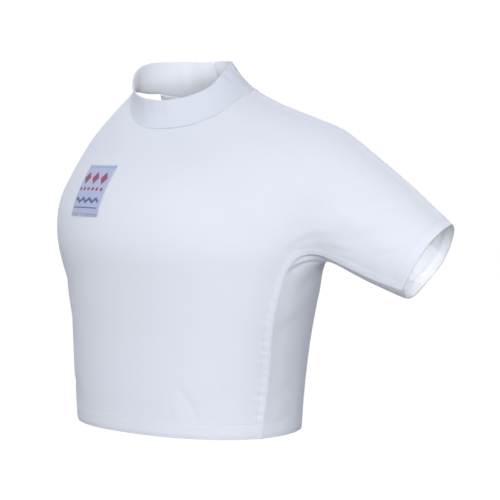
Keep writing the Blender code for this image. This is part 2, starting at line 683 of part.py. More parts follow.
def build_collar():
    """A stand collar: one doubled band, its ends lapped at the centre back."""
    first, last = neck_angle(-OVERLAP), neck_angle(OVERLAP) - 360
    degrees = np.linspace(first, last, COLLAR_COLUMNS + 1)
    lapped = (first - 360 + COLLAR_UNDERLAP - degrees) / COLLAR_UNDERLAP_RAMP
    drop = COLLAR_UNDERLAP_DROP * smooth_step(lapped)
    base = neck_ring(degrees)
    rim = rim_ring(degrees)
    rise = rim - base
    height = np.linalg.norm(rise, axis=1, keepdims=True)
    bare = np.clip((degrees % 360 - BARE_BACK_ANGLE) / (BARE_FRONT_ANGLE - BARE_BACK_ANGLE), 0, 1)
    base = base + rise / height * SEAM_GAP
    base[:, 2] -= BARE_COLLAR_DROP * np.sin(np.pi * bare) ** BARE_COLLAR_CURVE
    v = np.linspace(0, 1, COLLAR_ROWS + 1)[:, None, None]
    skin = base[None] + (rim - base)[None] * v
    hollow = COLLAR_HOLLOW * np.sin(np.pi * v)
    across = np.gradient(skin, axis=1)
    up = np.gradient(skin, axis=0)
    normal = np.cross(across, up)
    normal /= np.linalg.norm(normal, axis=-1, keepdims=True)
    centre = skin.mean((0, 1))
    if ((skin - centre) * normal).sum() < 0:
        normal = -normal
    flat = normal * [1.0, 1.0, COLLAR_SLOPE]
    flat /= np.linalg.norm(flat, axis=-1, keepdims=True)
    outer = skin - flat * (hollow + drop[None, :, None])
    inner = outer - flat * COLLAR_CLOTH
    quads = grid_quads(COLLAR_ROWS + 1, COLLAR_COLUMNS + 1)
    return outer.reshape(-1, 3), inner.reshape(-1, 3), quads


def build_label():
    """The badge on the wearer's right chest: a small patch that follows the front."""
    columns = np.linspace(-0.5, 0.5, 7)
    rows = np.linspace(-0.5, 0.5, 9)
    u, v = np.meshgrid(columns, rows)
    x = LABEL_CENTRE_X + LABEL_WIDTH * u + LABEL_LEAN * v
    z = LABEL_CENTRE_Z + LABEL_HEIGHT * v
    inside = np.stack([x, 0 * x, z], -1)
    p = cross(inside, inside + [0.0, -0.3, 0.0]).reshape(-1, 3)
    normal = outward(p)
    lift = fold_height(p)[:, None] + LABEL_CLEARANCE
    inner = p + normal * lift
    outer = p + normal * (lift + LABEL_CLOTH)
    return outer, inner, grid_quads(len(rows), len(columns))


def main():
    for thing in list(bpy.data.objects):
        bpy.data.objects.remove(thing)
    white = (0.86, 0.87, 0.90)
    parts = build()
    for name, (p, quads, hems) in parts.items():
        make_panel(name, p, quads, white, hems, underlap if name == "back_right" else None)
    outer, inner, quads = build_collar()
    make_object("collar", outer, inner, quads, (0.82, 0.83, 0.88))
    outer, inner, quads = build_label()
    make_object("chest_label", outer, inner, quads, (0.40, 0.43, 0.55), roughness=0.6)


main()
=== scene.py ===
# %% [markdown]
# # A fencing jacket with one sleeve
#
# A fencing jacket is sewn from close-woven white cloth, doubled so that it holds its own shape. This one
# is cropped at the waist, closes at the back of the neck and has a sleeve on the wearer's left only. The
# imported model gives each panel as a plain wall. Here every panel becomes a fine shell of cloth on that
# wall's outer face, with creases, hems, sewing and a woven finish. The imported model is loaded first.

# %% The imported model
import math
from collections import namedtuple

import bmesh
import bpy
import numpy as np
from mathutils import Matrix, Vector
from mathutils.kdtree import KDTree


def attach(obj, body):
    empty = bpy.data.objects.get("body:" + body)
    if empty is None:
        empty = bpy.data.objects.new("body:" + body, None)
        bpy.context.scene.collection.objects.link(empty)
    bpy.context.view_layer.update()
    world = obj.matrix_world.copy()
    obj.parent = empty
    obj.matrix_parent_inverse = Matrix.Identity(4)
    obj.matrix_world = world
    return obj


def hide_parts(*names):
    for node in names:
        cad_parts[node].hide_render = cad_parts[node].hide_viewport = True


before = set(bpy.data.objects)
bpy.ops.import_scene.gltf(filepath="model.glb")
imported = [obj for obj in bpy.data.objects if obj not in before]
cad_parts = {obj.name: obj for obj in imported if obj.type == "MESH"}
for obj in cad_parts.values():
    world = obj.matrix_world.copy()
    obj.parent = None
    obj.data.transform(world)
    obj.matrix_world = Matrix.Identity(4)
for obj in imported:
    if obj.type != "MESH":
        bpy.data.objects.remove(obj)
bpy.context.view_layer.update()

MM = 0.001
print("nodes:", ", ".join(sorted(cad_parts)))

# %% [markdown]
# The camera stands to the wearer's left of straight ahead, a little above the chest, with a long lens.
# A long lens far away keeps the sleeve, which is nearer than the neck, from looking too large. The aim is
# a point inside the chest, so turning the camera about it changes the view and not the framing.

# %% The camera
CAMERA_TURN = 36
CAMERA_RISE = 4
CAMERA_DISTANCE = 2.2
CAMERA_LENS = 120
SENSOR_WIDTH = 36
AIM = Vector((0.0651, 0.0473, -0.21))


def face_from(thing, turn, rise, distance, aim):
    """Puts a camera or a lamp at a turn about its aim and a rise above it, in degrees, facing the aim."""
    turn, rise = math.radians(turn), math.radians(rise)
    level = math.cos(rise)
    away = Vector((math.sin(turn) * level, -math.cos(turn) * level, math.sin(rise)))
    thing.location = Vector(aim) + distance * away
    thing.rotation_euler = away.to_track_quat("Z", "Y").to_euler()
    bpy.context.scene.collection.objects.link(thing)


camera = bpy.data.objects.new("camera", bpy.data.cameras.new("camera"))
camera.data.lens = CAMERA_LENS
camera.data.sensor_width = SENSOR_WIDTH
face_from(camera, CAMERA_TURN, CAMERA_RISE, CAMERA_DISTANCE, AIM)
bpy.context.scene.camera = camera
print("camera at", [round(c, 3) for c in camera.location])

# %% [markdown]
# A white garment on white needs soft light that still models its form. A large lamp in front gives the
# chest its brightness, and weaker ones at the sides let the body's flanks fall into grey. Narrow beams
# brighten what would be too dark without them: the inside of the collar and of the cuff. The floor and
# the backdrop glow by themselves and are seen by the camera only, so they throw no light on the cloth.

# %% Light and surroundings
Lamp = namedtuple("Lamp", "name turn rise power")
LAMPS = [
    Lamp("front_lamp", 35, 5, 54),
    Lamp("right_lamp", -40, 5, 11.0),
    Lamp("upper_right_lamp", -60, 40, 17),
    Lamp("right_back_lamp", -110, 40, 12),
    Lamp("low_right_back_lamp", -120, 5, 12),
    Lamp("upper_left_lamp", 110, 40, 11),
    Lamp("low_left_lamp", 60, -35, 10),
    Lamp("upper_back_lamp", 180, 40, 25),
]
LAMP_DISTANCE = 2.8
LAMP_SIZE = 1.4
LAMP_COLOUR = (0.97, 0.98, 1.0)
Beam = namedtuple("Beam", "name aim turn rise spread power")
BEAMS = [
    Beam("collar_beam", (-0.01, 0.05, 0.010), 20, 35, 6, 0.0003),
    Beam("collar_side_beam", (-0.04, 0.03, 0.005), 70, 36, 6, 0.0030),
    Beam("collar_right_beam", (0.02, 0.05, 0.005), -40, 45, 6, 0.0014),
    Beam("cuff_beam", (0.356, 0.030, -0.214), 58, -6, 3.5, 0.0038),
    Beam("low_cuff_beam", (0.352, 0.030, -0.222), 75, 20, 3.5, 0.0019),
]
BEAM_DISTANCE = 1.0
BEAM_SIZE = 0.04
AMBIENT_ABOVE = (0.78, 0.84, 1.0)
AMBIENT_BELOW = (0.13, 0.15, 0.20)
AMBIENT_GRADE = (-0.5, 0.3)
AMBIENT_STRENGTH = 0.25
FLOOR_HEIGHT = -1.45
BACKDROP_RADIUS = 9.0
BACKDROP_GLOW = 1.02


def place_lamp(lamp, aim, distance, size, spread=180):
    """A square lamp that faces its aim."""
    data = bpy.data.lights.new(lamp.name, "AREA")
    data.size = size
    data.spread = math.radians(spread)
    data.energy = lamp.power
    data.color = LAMP_COLOUR
    face_from(bpy.data.objects.new(lamp.name, data), lamp.turn, lamp.rise, distance, aim)


def shader_of(name):
    """A new material and its shader."""
    material = bpy.data.materials.new(name)
    material.use_nodes = True
    return material, material.node_tree.nodes["Principled BSDF"]


def seen_by_camera_only(thing):
    """Makes a thing glow white, for the camera alone."""
    material, shader = shader_of("plain_white")
    shader.inputs["Base Color"].default_value = (0, 0, 0, 1)
    shader.inputs["Specular IOR Level"].default_value = 0
    shader.inputs["Emission Color"].default_value = (1, 1, 1, 1)
    shader.inputs["Emission Strength"].default_value = BACKDROP_GLOW
    thing.data.materials.append(material)
    for way in ("diffuse", "glossy", "transmission", "shadow"):
        setattr(thing, "visible_" + way, False)


def soft_room():
    """Light from all round, paler from above than from below."""
    world = bpy.data.worlds.new("soft_room")
    world.use_nodes = True
    tree = world.node_tree
    direction = tree.nodes.new("ShaderNodeTexCoord").outputs["Generated"]
    parts = tree.nodes.new("ShaderNodeSeparateXYZ")
    tree.links.new(direction, parts.inputs["Vector"])
    height = tree.nodes.new("ShaderNodeMapRange")
    height.inputs["From Min"].default_value, height.inputs["From Max"].default_value = AMBIENT_GRADE
    tree.links.new(parts.outputs["Z"], height.inputs["Value"])
    mix = tree.nodes.new("ShaderNodeMix")
    mix.data_type = "RGBA"
    mix.inputs["A"].default_value = (*AMBIENT_BELOW, 1)
    mix.inputs["B"].default_value = (*AMBIENT_ABOVE, 1)
    tree.links.new(height.outputs["Result"], mix.inputs["Factor"])
    background = tree.nodes["Background"]
    tree.links.new(mix.outputs["Result"], background.inputs["Color"])
    background.inputs["Strength"].default_value = AMBIENT_STRENGTH
    return world


for lamp in LAMPS:
    place_lamp(lamp, AIM, LAMP_DISTANCE, LAMP_SIZE)
for beam in BEAMS:
    place_lamp(beam, beam.aim, BEAM_DISTANCE, BEAM_SIZE, beam.spread)
bpy.context.scene.world = soft_room()
bpy.ops.mesh.primitive_circle_add(vertices=96, radius=BACKDROP_RADIUS, fill_type="NGON")
floor = bpy.context.object
floor.location.z = FLOOR_HEIGHT
floor.name = "floor"
seen_by_camera_only(floor)
bpy.ops.mesh.primitive_uv_sphere_add(segments=64, ring_count=32, radius=BACKDROP_RADIUS)
backdrop = bpy.context.object
backdrop.name = "backdrop"
seen_by_camera_only(backdrop)
bpy.context.scene.view_settings.view_transform = "Standard"
print(len(LAMPS), "lamps and", len(BEAMS), "beams, floor at", FLOOR_HEIGHT, "m")

# %% [markdown]
# ## From a packed wall to a skin of cloth
#
# A packed panel is a closed wall of loose triangles. Its copy is merged and turned back into quads, and
# then everything but its outer face is deleted. The outer face is found from a spot in the air outside
# it: the nearest face belongs to it, and the flat-linked selection spreads from there until the sharp
# turn at the panel's rim. An open skin subdivides cleanly, and its edges stay where the seams are.

# %% A skin from a node
Panel = namedtuple("Panel", "node outside")
PANELS = [
    Panel("front", (0.0, -0.60, -0.25)),
    Panel("back_left", (0.08, 0.60, -0.25)),
    Panel("back_right", (-0.10, 0.60, -0.25)),
    Panel("side_left", (0.24, 0.0, -0.36)),
    Panel("collar", (0.0, -0.085, -0.038)),
    Panel("chest_label", (-0.06, -0.60, -0.13)),
]
RIM_TURN = math.radians(60)
MERGE_DISTANCE = 0.01 * MM
QUAD_TURN = math.radians(40)


def only(thing):
    """Selects this object and nothing else."""
    bpy.ops.object.select_all(action="DESELECT")
    thing.select_set(True)
    bpy.context.view_layer.objects.active = thing


def outer_skin(panel):
    """The outer face of a packed panel, as an open mesh of quads."""
    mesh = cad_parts[panel.node].data.copy()
    mesh.materials.clear()
    skin = bpy.data.objects.new(panel.node + "_cloth", mesh)
    bpy.context.scene.collection.objects.link(skin)
    only(skin)
    bpy.ops.object.mode_set(mode="EDIT")
    bpy.ops.mesh.select_mode(type="FACE")
    bpy.ops.mesh.select_all(action="SELECT")
    bpy.ops.mesh.remove_doubles(threshold=MERGE_DISTANCE)
    bpy.ops.mesh.tris_convert_to_quads(face_threshold=QUAD_TURN, shape_threshold=QUAD_TURN)
    bpy.ops.mesh.select_all(action="DESELECT")
    bpy.ops.object.mode_set(mode="OBJECT")
    whole = len(mesh.polygons)
    bpy.context.view_layer.update()
    index = skin.closest_point_on_mesh(panel.outside)[3]
    mesh.polygons[index].select = True
    bpy.ops.object.mode_set(mode="EDIT")
    bpy.ops.mesh.faces_select_linked_flat(sharpness=RIM_TURN)
    bpy.ops.mesh.select_all(action="INVERT")
    bpy.ops.mesh.delete(type="FACE")
    bpy.ops.object.mode_set(mode="OBJECT")
    print(f"{skin.name}: {len(mesh.polygons)} of {whole} faces kept")
    return skin


skins = {panel.node: outer_skin(panel) for panel in PANELS}

# %% [markdown]
# The woven finish has to follow the cloth, so each skin is laid flat with an unwrap before it is made
# finer. The flat pattern is scaled to real metres and turned so that the grain runs up the garment, as a
# cutter lays it. Its size is also the size of the cut piece.

# %% The flat pattern of each skin
def values_of(items, name, width):
    """One property of every item, as rows of numbers."""
    found = np.zeros(len(items) * width)
    items.foreach_get(name, found)
    return found.reshape(-1, width)


def points_of(mesh):
    return values_of(mesh.vertices, "co", 3)


def place_points(mesh, points):
    mesh.vertices.foreach_set("co", points.astype(np.float32).ravel())
    mesh.update()


def area_of(mesh):
    return sum(face.area for face in mesh.polygons)


def lay_flat(skin):
    """Gives the skin a UV map in metres with its grain upright, and returns the flat width and height."""
    only(skin)
    mesh = skin.data
    while mesh.uv_layers:
        mesh.uv_layers.remove(mesh.uv_layers[0])
    mesh.uv_layers.new(name="cut")
    bpy.ops.object.mode_set(mode="EDIT")
    bpy.ops.mesh.select_all(action="SELECT")
    bpy.ops.uv.unwrap(method="ANGLE_BASED", margin=0)
    bpy.ops.object.mode_set(mode="OBJECT")
    layer = mesh.uv_layers["cut"]
    uv = values_of(layer.uv, "vector", 2)
    flat = 0.0
    for face in mesh.polygons:
        corner = uv[face.loop_start : face.loop_start + face.loop_total]
        after = np.roll(corner, -1, axis=0)
        flat += abs((corner[:, 0] * after[:, 1] - after[:, 0] * corner[:, 1]).sum()) / 2
    uv *= math.sqrt(area_of(mesh) / flat)
    vertex = np.zeros(len(mesh.loops), int)
    mesh.loops.foreach_get("vertex_index", vertex)
    height = points_of(mesh)[vertex, 2]
    slope = np.linalg.lstsq(np.c_[uv, np.ones(len(uv))], height, rcond=None)[0][:2]
    up = slope / np.linalg.norm(slope)
    uv = np.c_[uv @ [up[1], -up[0]], uv @ up]
    uv -= uv.min(0)
    layer.uv.foreach_set("vector", uv.astype(np.float32).ravel())
    return uv.max(0)


cut_sizes = {node: lay_flat(skin) for node, skin in skins.items()}
cut_areas = {node: area_of(skin.data) for node, skin in skins.items()}
for node, (width, height) in cut_sizes.items():
    print(f"{node}: cut {width * 100:.1f} x {height * 100:.1f} cm, {cut_areas[node] * 1e4:.0f} cm2")

# %% [markdown]
# Each skin is now subdivided, so that its quads are two or three millimetres wide. That is fine enough
# for soft creases in the mesh itself. Subdividing rounds every corner of an open skin, and rounded
# corners would leave holes where seams meet. So the free edge of each skin is walked once round first,
# and every point where it turns sharply is given a full crease, which holds it in place.

# %% The free edge of a skin
CORNER_TURN = math.radians(38)


def free_loop(mesh):
    """The numbers of the points on the free edge, in order, and which of them are corners."""
    wire = bmesh.new()
    wire.from_mesh(mesh)
    first = next(edge for edge in wire.edges if edge.is_boundary)
    loop = list(first.verts)
    while True:
        free = [edge.other_vert(loop[-1]) for edge in loop[-1].link_edges if edge.is_boundary]
        ahead = next(vert for vert in free if vert is not loop[-2])
        if ahead is loop[0]:
            break
        loop.append(ahead)
    steps = [loop[(i + 1) % len(loop)].co - vert.co for i, vert in enumerate(loop)]
    corners = [i for i, step in enumerate(steps) if steps[i - 1].angle(step) > CORNER_TURN]
    numbers = [vert.index for vert in loop]
    wire.free()
    return numbers, corners


# %% [markdown]
# The badge leans with the cloth that it is sewn to, but its figures stand square in it. A second map gives
# its corners the corners of a unit square, so a figure is placed by its share across and up.

# %% The badge squared up
def corner_uv(mesh, number, layer):
    """Where a point of the mesh lies in its flat pattern."""
    loop = next(loop.index for loop in mesh.loops if loop.vertex_index == number)
    return list(layer.uv[loop].vector)


def square_up(skin, name):
    """Adds a UV map in which the four corners of a leaning patch are those of a unit square."""
    mesh = skin.data
    numbers, corners = free_loop(mesh)
    spots = {numbers[i]: mesh.vertices[numbers[i]].co for i in corners}
    upward = sorted(spots, key=lambda number: spots[number].z)
    low, high = (sorted(pair, key=lambda number: spots[number].x) for pair in (upward[:2], upward[2:]))
    flat = np.array([corner_uv(mesh, number, mesh.uv_layers["cut"]) for number in low + high])
    unit = np.array([(0, 0), (1, 0), (0, 1), (1, 1)])
    fit = np.linalg.lstsq(np.c_[flat, np.ones(4)], unit, rcond=None)[0]
    uv = values_of(mesh.uv_layers["cut"].uv, "vector", 2)
    squared = np.c_[uv, np.ones(len(uv))] @ fit
    mesh.uv_layers.new(name=name).uv.foreach_set("vector", squared.astype(np.float32).ravel())
    print(name, "corners at", squared.min(0).round(2), squared.max(0).round(2))


square_up(skins["chest_label"], "badge")

# %% Finer skins
SMOOTHING_LEVELS = 2


def apply(thing, modifier):
    only(thing)
    bpy.ops.object.modifier_apply(modifier=modifier.name)


def subdivide(skin, levels):
    """Halves the faces again and again, and holds the corners of the free edge in place."""
    numbers, corners = free_loop(skin.data)
    crease = skin.data.vertex_creases_ensure()
    for i in corners:
        crease.data[numbers[i]].value = 1.0
    modifier = skin.modifiers.new("finer", "SUBSURF")
    modifier.levels = modifier.render_levels = levels
    apply(skin, modifier)


for skin in skins.values():
    subdivide(skin, SMOOTHING_LEVELS)
print("quads:", {node: len(skin.data.polygons) for node, skin in skins.items()})

# %% [markdown]
# Hems, seams and sewing all follow the panel's edges. The free edge is cut at its corners into runs, and
# a run is picked by a spot in millimetres that it passes near.

# %% The edges of a skin
MEASURING_GAP = 1 * MM


def edge_runs(skin):
    """The free edge of a skin as runs of points, from corner to corner."""
    numbers, corners = free_loop(skin.data)
    points = [skin.data.vertices[number].co.copy() for number in numbers]
    runs = []
    for start, end in zip(corners, corners[1:] + [corners[0] + len(points)]):
        runs.append([points[i % len(points)] for i in range(start, end + 1)])
    return runs


def run_near(runs, spot):
    """The run that passes nearest to this spot."""
    spot = Vector(spot)
    return min(runs, key=lambda run: min((point - spot).length for point in run))


def spaced(run, gap):
    """Points along a run, evenly spaced, and the unit direction at each."""
    points = np.array([list(point) for point in run])
    length = np.concatenate([[0], np.cumsum(np.linalg.norm(np.diff(points, axis=0), axis=1))])
    at = np.linspace(0, length[-1], max(int(length[-1] / gap), 2) + 1)
    found = np.stack([np.interp(at, length, points[:, axis]) for axis in range(3)], -1)
    along = np.gradient(found, axis=0)
    return found, along / np.linalg.norm(along, axis=1, keepdims=True)


def length_of(run):
    return sum((after - before).length for before, after in zip(run, run[1:]))


def distance_from(run, points):
    """How far each point lies from the run."""
    line = spaced(run, MEASURING_GAP)[0]
    tree = KDTree(len(line))
    for i, point in enumerate(line):
        tree.insert(point, i)
    tree.balance()
    return np.array([tree.find(point)[2] for point in points])


for node, skin in skins.items():
    print(node, "edges:", [round(length_of(run), 3) for run in edge_runs(skin)])

# %% Where each hem and seam lies
EDGE_SPOTS = {
    "front": {
        "hem": (0, -115, -439),
        "side seam": (165, -47, -330),
        "cuff": (358, -18, -205),
        "shoulder seam": (200, 10, -42),
        "neck": (0, -70, -58),
        "armhole": (-173, -70, -150),
        "right seam": (-175, 0, -330),
    },
    "back_left": {
        "hem": (80, 100, -440),
        "side seam": (163, 52, -330),
        "cuff": (345, 66, -210),
        "shoulder seam": (200, 10, -42),
        "neck": (50, 55, -10),
        "closing edge": (-12.5, 120, -250),
    },
    "back_right": {
        "hem": (-80, 100, -440),
        "closing edge": (12.5, 120, -250),
        "armhole": (-150, 83, -110),
        "right seam": (-175, 0, -330),
        "neck": (-40, 60, -10),
    },
    "side_left": {
        "hem": (160, 0, -440),
        "cuff": (331, 20, -258),
        "front seam": (165, -47, -330),
        "back seam": (165, 52, -330),
    },
    "collar": {
        "rim": (0, -73, -15),
        "neck": (0, -70, -57),
    },
}


def metres(spot):
    return [value / 1000 for value in spot]


def find_edges():
    """The runs of every skin, and the run that is each named hem or seam."""
    found, named = {node: edge_runs(skin) for node, skin in skins.items()}, {}
    for node, spots in EDGE_SPOTS.items():
        for name, spot in spots.items():
            named[(node, name)] = run_near(found[node], metres(spot))
    return found, named


runs, edges = find_edges()
for (node, name), run in edges.items():
    print(f"{node}, {name}: {length_of(run):.3f} m, from {[round(c, 3) for c in run[0]]}")

# %% [markdown]
# The collar is cut as one long band. Laid out flat it is a narrow arc, which a box doesn't fit well, so
# its size is given along the band instead: its longer edge by its height.

# %% The collar's flat size
collar_length = max(length_of(edges[("collar", "neck")]), length_of(edges[("collar", "rim")]))
collar_height = cut_areas["collar"] / collar_length
cut_sizes["collar"] = (collar_length, collar_height)
print(f"collar: band {collar_length * 100:.1f} x {collar_height * 100:.1f} cm")

# %% [markdown]
# ## Creases
#
# Cloth this firm doesn't crumple, but it drags softly from the underarm and puckers where a long seam is
# drawn in by its sewing. Each crease is listed as a line over the cloth: the spot that it starts
# from, the spot that it ends at, its bow, its width and its rise, all in millimetres. A rise below nothing
# is a trough. A crease is steeper on one side, as a real one is, and fades at both ends. Moving the points
# of the skin along their normals keeps the seams shut.

# %% Listed creases
CREASE_ROWS = {
    "front": [
        # drags along the sleeve, from the underarm to the cuff
        (256, -39, -184, 330, -6, -138, 4, 7, -1.6),
        (268, -37, -176, 322, -12, -150, 3, 6, 0.9),
        (270, -36, -190, 330, -18, -166, 3, 6, -1.3),
        (300, -30, -205, 346, -20, -188, -2, 5, -0.9),
        (232, -40, -150, 290, -20, -112, -5, 11, -0.9),
        # short wrinkles above the underarm
        (196, -43, -196, 246, -39, -181, 4, 4, -0.9),
        (204, -42, -187, 250, -40, -172, 4, 5, 0.5),
        (186, -50, -186, 226, -46, -162, 5, 6, -0.7),
        (240, -38, -196, 276, -32, -199, -2, 4, -0.7),
        # long faint drags across the chest and the low front
        (180, -60, -205, 128, -85, -150, 9, 12, -1.1),
        (170, -66, -232, 108, -95, -214, 7, 13, -0.9),
        (64, -107, -370, 90, -99, -420, 4, 6, -1.4),
        (56, -108, -392, 72, -104, -424, 2, 5, 0.7),
        (98, -95, -400, 138, -75, -360, -4, 8, -1.1),
        (-172, -45, -205, -120, -100, -262, -6, 11, -1.6),
        (-170, -50, -255, -128, -90, -335, 5, 12, -1.3),
        (-168, -45, -372, -110, -98, -400, -4, 9, -1.1),
        (-105, -70, -70, -60, -92, -125, 6, 10, -0.9),
        (128, -28, -36, 190, -30, -75, -5, 10, -0.9),
    ],
    "back_left": [
        (200, 80, -190, 120, 126, -222, 6, 9, -2.2),
        (192, 80, -212, 128, 118, -268, -6, 11, -1.6),
        (212, 80, -176, 150, 120, -158, 5, 7, -1.3),
        (238, 82, -168, 318, 72, -196, 5, 8, -1.4),
        (262, 80, -140, 330, 72, -166, -4, 7, -1.1),
        (366, 52, -183, 338, 56, -160, 2, 5, -1.3),
        (357, 61, -197, 326, 64, -190, -2, 4.5, -1.0),
        (343, 65, -217, 314, 66, -194, 2, 5, -1.4),
        (334, 63, -230, 300, 68, -222, -2, 5, -1.0),
        (22, 80, -60, 52, 116, -130, 5, 9, -1.3),
        (10, 124, -250, 52, 124, -300, -5, 10, -1.1),
        (156, 60, -402, 80, 108, -372, 5, 10, -1.3),
        (60, 108, -420, 100, 100, -385, 3, 7, -0.9),
    ],
    "back_right": [
        (-160, 62, -190, -90, 124, -250, 7, 10, -1.8),
        (-166, 52, -222, -116, 104, -300, -5, 11, -1.4),
        (-52, 72, -48, -40, 116, -128, -5, 9, -1.4),
        (-118, 96, -110, -80, 126, -185, 5, 9, -1.1),
        (-20, 124, -245, -60, 120, -310, 5, 10, -1.1),
        (-150, 52, -402, -70, 108, -376, -5, 9, -1.3),
    ],
    "side_left": [
        # two folds close under the arm, and softer drags below them
        (179, -44, -230, 214, 8, -215, 5, 4.5, -2.1),
        (186, -42, -216, 222, -12, -206, 3, 3.5, -1.7),
        (182, -42, -222, 214, 0, -210, 4, 4, 1.1),
        (174, -40, -250, 190, 14, -246, 4, 8, -0.8),
        (166, -40, -312, 178, -4, -286, 3, 6, -0.7),
        (164, 40, -330, 170, 2, -300, -3, 7, -0.6),
        (160, -34, -398, 163, 10, -372, 3, 7, -0.7),
        (158, -30, -430, 161, 6, -410, 2, 5, -0.7),
        (236, 20, -216, 300, 30, -240, 3, 7, -1.3),
    ],
    "collar": [
        # faint upright folds in front, and a pinch where the band turns the corner of the neck
        (-6, -73, -19, -10, -70, -46, 1, 3.5, -0.9),
        (14, -73, -18, 11, -70, -45, -1, 3.5, -0.9),
        (34, -70, -16, 34, -66, -40, 1, 4, -0.6),
        (-30, -70, -16, -34, -66, -44, 1, 4, -0.7),
        (58, -16, 24, 78, -10, 6, 1, 3, -1.4),
        (60, 0, 30, 76, 10, 12, -1, 2.5, -1.4),
        (64, -8, 27, 74, 0, 14, 1, 2.5, 0.9),
        (40, 52, 34, 46, 64, 4, 1, 5, -1.1),
        (-46, 48, 34, -52, 62, 4, -1, 5, -1.1),
    ],
}
CREASE_DEPTH = 25 * MM
CREASE_STEEP, CREASE_SOFT = 1.5, 0.8
CREASE_ENDS = (0.02, 0.98)
CREASE_FADE = 0.6
Crease = namedtuple("Crease", "start end bow width rise")


def placed(row):
    """The crease of a row, with its two spots in metres."""
    return Crease(metres(row[:3]), metres(row[3:6]), *row[6:])


creases = {node: [placed(row) for row in rows] for node, rows in CREASE_ROWS.items()}


def normals_of(mesh):
    return values_of(mesh.vertex_normals, "vector", 3)


def onto(skin, spot):
    """The point of the skin nearest to this spot, and its normal."""
    _, place, normal, _ = skin.closest_point_on_mesh(Vector(spot))
    return place, normal


def crease_lift(skin, crease, points, normals):
    """How far one crease lifts each point."""
    start = np.array(onto(skin, crease.start)[0])
    line = np.array(onto(skin, crease.end)[0]) - start
    length = np.linalg.norm(line)
    share = np.clip((points - start) @ line / length**2, 0, 1)
    across = np.cross(normals, line / length)
    bend = (crease.bow * MM * 4 * share * (1 - share))[:, None] * across
    off = points - (start + share[:, None] * line + bend)
    out = (off * normals).sum(1)
    away = np.linalg.norm(off - out[:, None] * normals, axis=1) / (crease.width * MM)
    side = (off * across).sum(1)
    steep = np.where(side > 0, CREASE_STEEP, CREASE_SOFT)
    fade = np.sin(np.pi * np.clip(share, *CREASE_ENDS)) ** CREASE_FADE
    near = np.abs(out) < CREASE_DEPTH
    return crease.rise * MM * fade * near * np.exp(-steep * away**2)


# %% [markdown]
# A long seam is drawn in by its thread, so small puckers stand across it. Each is a short trough that runs
# from the seam into the panel, with a lower ridge below it. The skin is made finer beside these seams, so
# that it can show them. A pucker's height, reach, tilt, width and rise are in millimetres.

# %% Puckers along the side seams
LEFT_PUCKERS = [
    (-232, 12, 3, 3, -0.42), (-246, 20, 6, 3.3, -0.7), (-255, 14, 4, 2.8, -0.58),
    (-268, 17, 5, 3.2, -0.62), (-281, 12, 1, 2.8, -0.42), (-291, 22, 4, 3.5, -0.8),
    (-305, 13, 2, 3, -0.5), (-315, 18, 0, 3.2, -0.7), (-328, 15, 4, 2.8, -0.62),
    (-337, 24, 3, 3.7, -0.83), (-351, 13, 2, 2.8, -0.58), (-361, 19, -1, 3.2, -0.8),
    (-374, 15, 2, 3, -0.58), (-385, 22, 1, 3.3, -0.8), (-398, 12, -2, 2.8, -0.5),
    (-408, 18, -3, 3.2, -0.62),
]
RIGHT_PUCKERS = [
    (-218, 16, -4, 3.3, -0.62), (-236, 12, 0, 3, -0.5), (-252, 20, 3, 3.5, -0.7),
    (-276, 13, 2, 3, -0.5), (-297, 18, 0, 3.3, -0.7), (-312, 12, 3, 2.8, -0.42),
    (-338, 21, 2, 3.5, -0.8), (-359, 14, -2, 3, -0.58), (-382, 18, 1, 3.3, -0.62),
    (-402, 13, -2, 3, -0.58),
]
PUCKERED = [
    ("front", "side seam", LEFT_PUCKERS),
    ("back_left", "side seam", LEFT_PUCKERS[::2]),
    ("front", "right seam", RIGHT_PUCKERS),
    ("back_right", "right seam", RIGHT_PUCKERS[1::2]),
]
PUCKER_BOW = 1
PUCKER_GAP = 2 * MM
PUCKER_REACH = 26 * MM
RIDGE_BELOW = 5.5 * MM
RIDGE_SHARE = -0.7
INWARD_STEP = 5 * MM


def inward(skin, place, along):
    """The direction over the cloth that leads away from its edge at this place."""
    normal = np.array(onto(skin, place)[1])
    across = np.cross(normal, along)
    ahead = onto(skin, place + INWARD_STEP * across)[0]
    back = onto(skin, place - INWARD_STEP * across)[0]
    return across if (ahead - Vector(place)).length > (back - Vector(place)).length else -across


def refine_by(skin, run, reach):
    """Halves the faces of the skin within this reach of the run."""
    mesh = bmesh.new()
    mesh.from_mesh(skin.data)
    close = distance_from(run, points_of(skin.data)) < reach
    edges_there = [edge for edge in mesh.edges if all(close[vert.index] for vert in edge.verts)]
    bmesh.ops.subdivide_edges(mesh, edges=edges_there, cuts=1, use_grid_fill=True)
    mesh.to_mesh(skin.data)
    mesh.free()


def pucker_creases(skin, run, height, reach, tilt, width, rise):
    """A short trough that starts at the seam and runs into the panel, and a lower ridge below it."""
    points, along = spaced(run, PUCKER_GAP)
    top = height / 1000
    found = []
    for level, share in ((top, 1), (top - RIDGE_BELOW, RIDGE_SHARE)):
        nearest = np.abs(points[:, 2] - level).argmin()
        place = points[nearest]
        end = place + reach * MM * inward(skin, place, along[nearest]) + [0, 0, tilt * MM]
        found.append(Crease(place, end, PUCKER_BOW, width, rise * share))
    return found


for node, name, puckers in PUCKERED:
    refine_by(skins[node], edges[(node, name)], PUCKER_REACH)
    for pucker in puckers:
        creases[node] += pucker_creases(skins[node], edges[(node, name)], *pucker)


# %% The creases go into the skins
def crease_skin(node):
    skin = skins[node]
    points, normals = points_of(skin.data), normals_of(skin.data)
    lift = sum(crease_lift(skin, crease, points, normals) for crease in creases[node])
    place_points(skin.data, points + normals * lift[:, None])
    print(f"{node}: {len(creases[node])} creases, from {lift.min() * 1e3:.1f} to {lift.max() * 1e3:.1f} mm")


for node in creases:
    crease_skin(node)

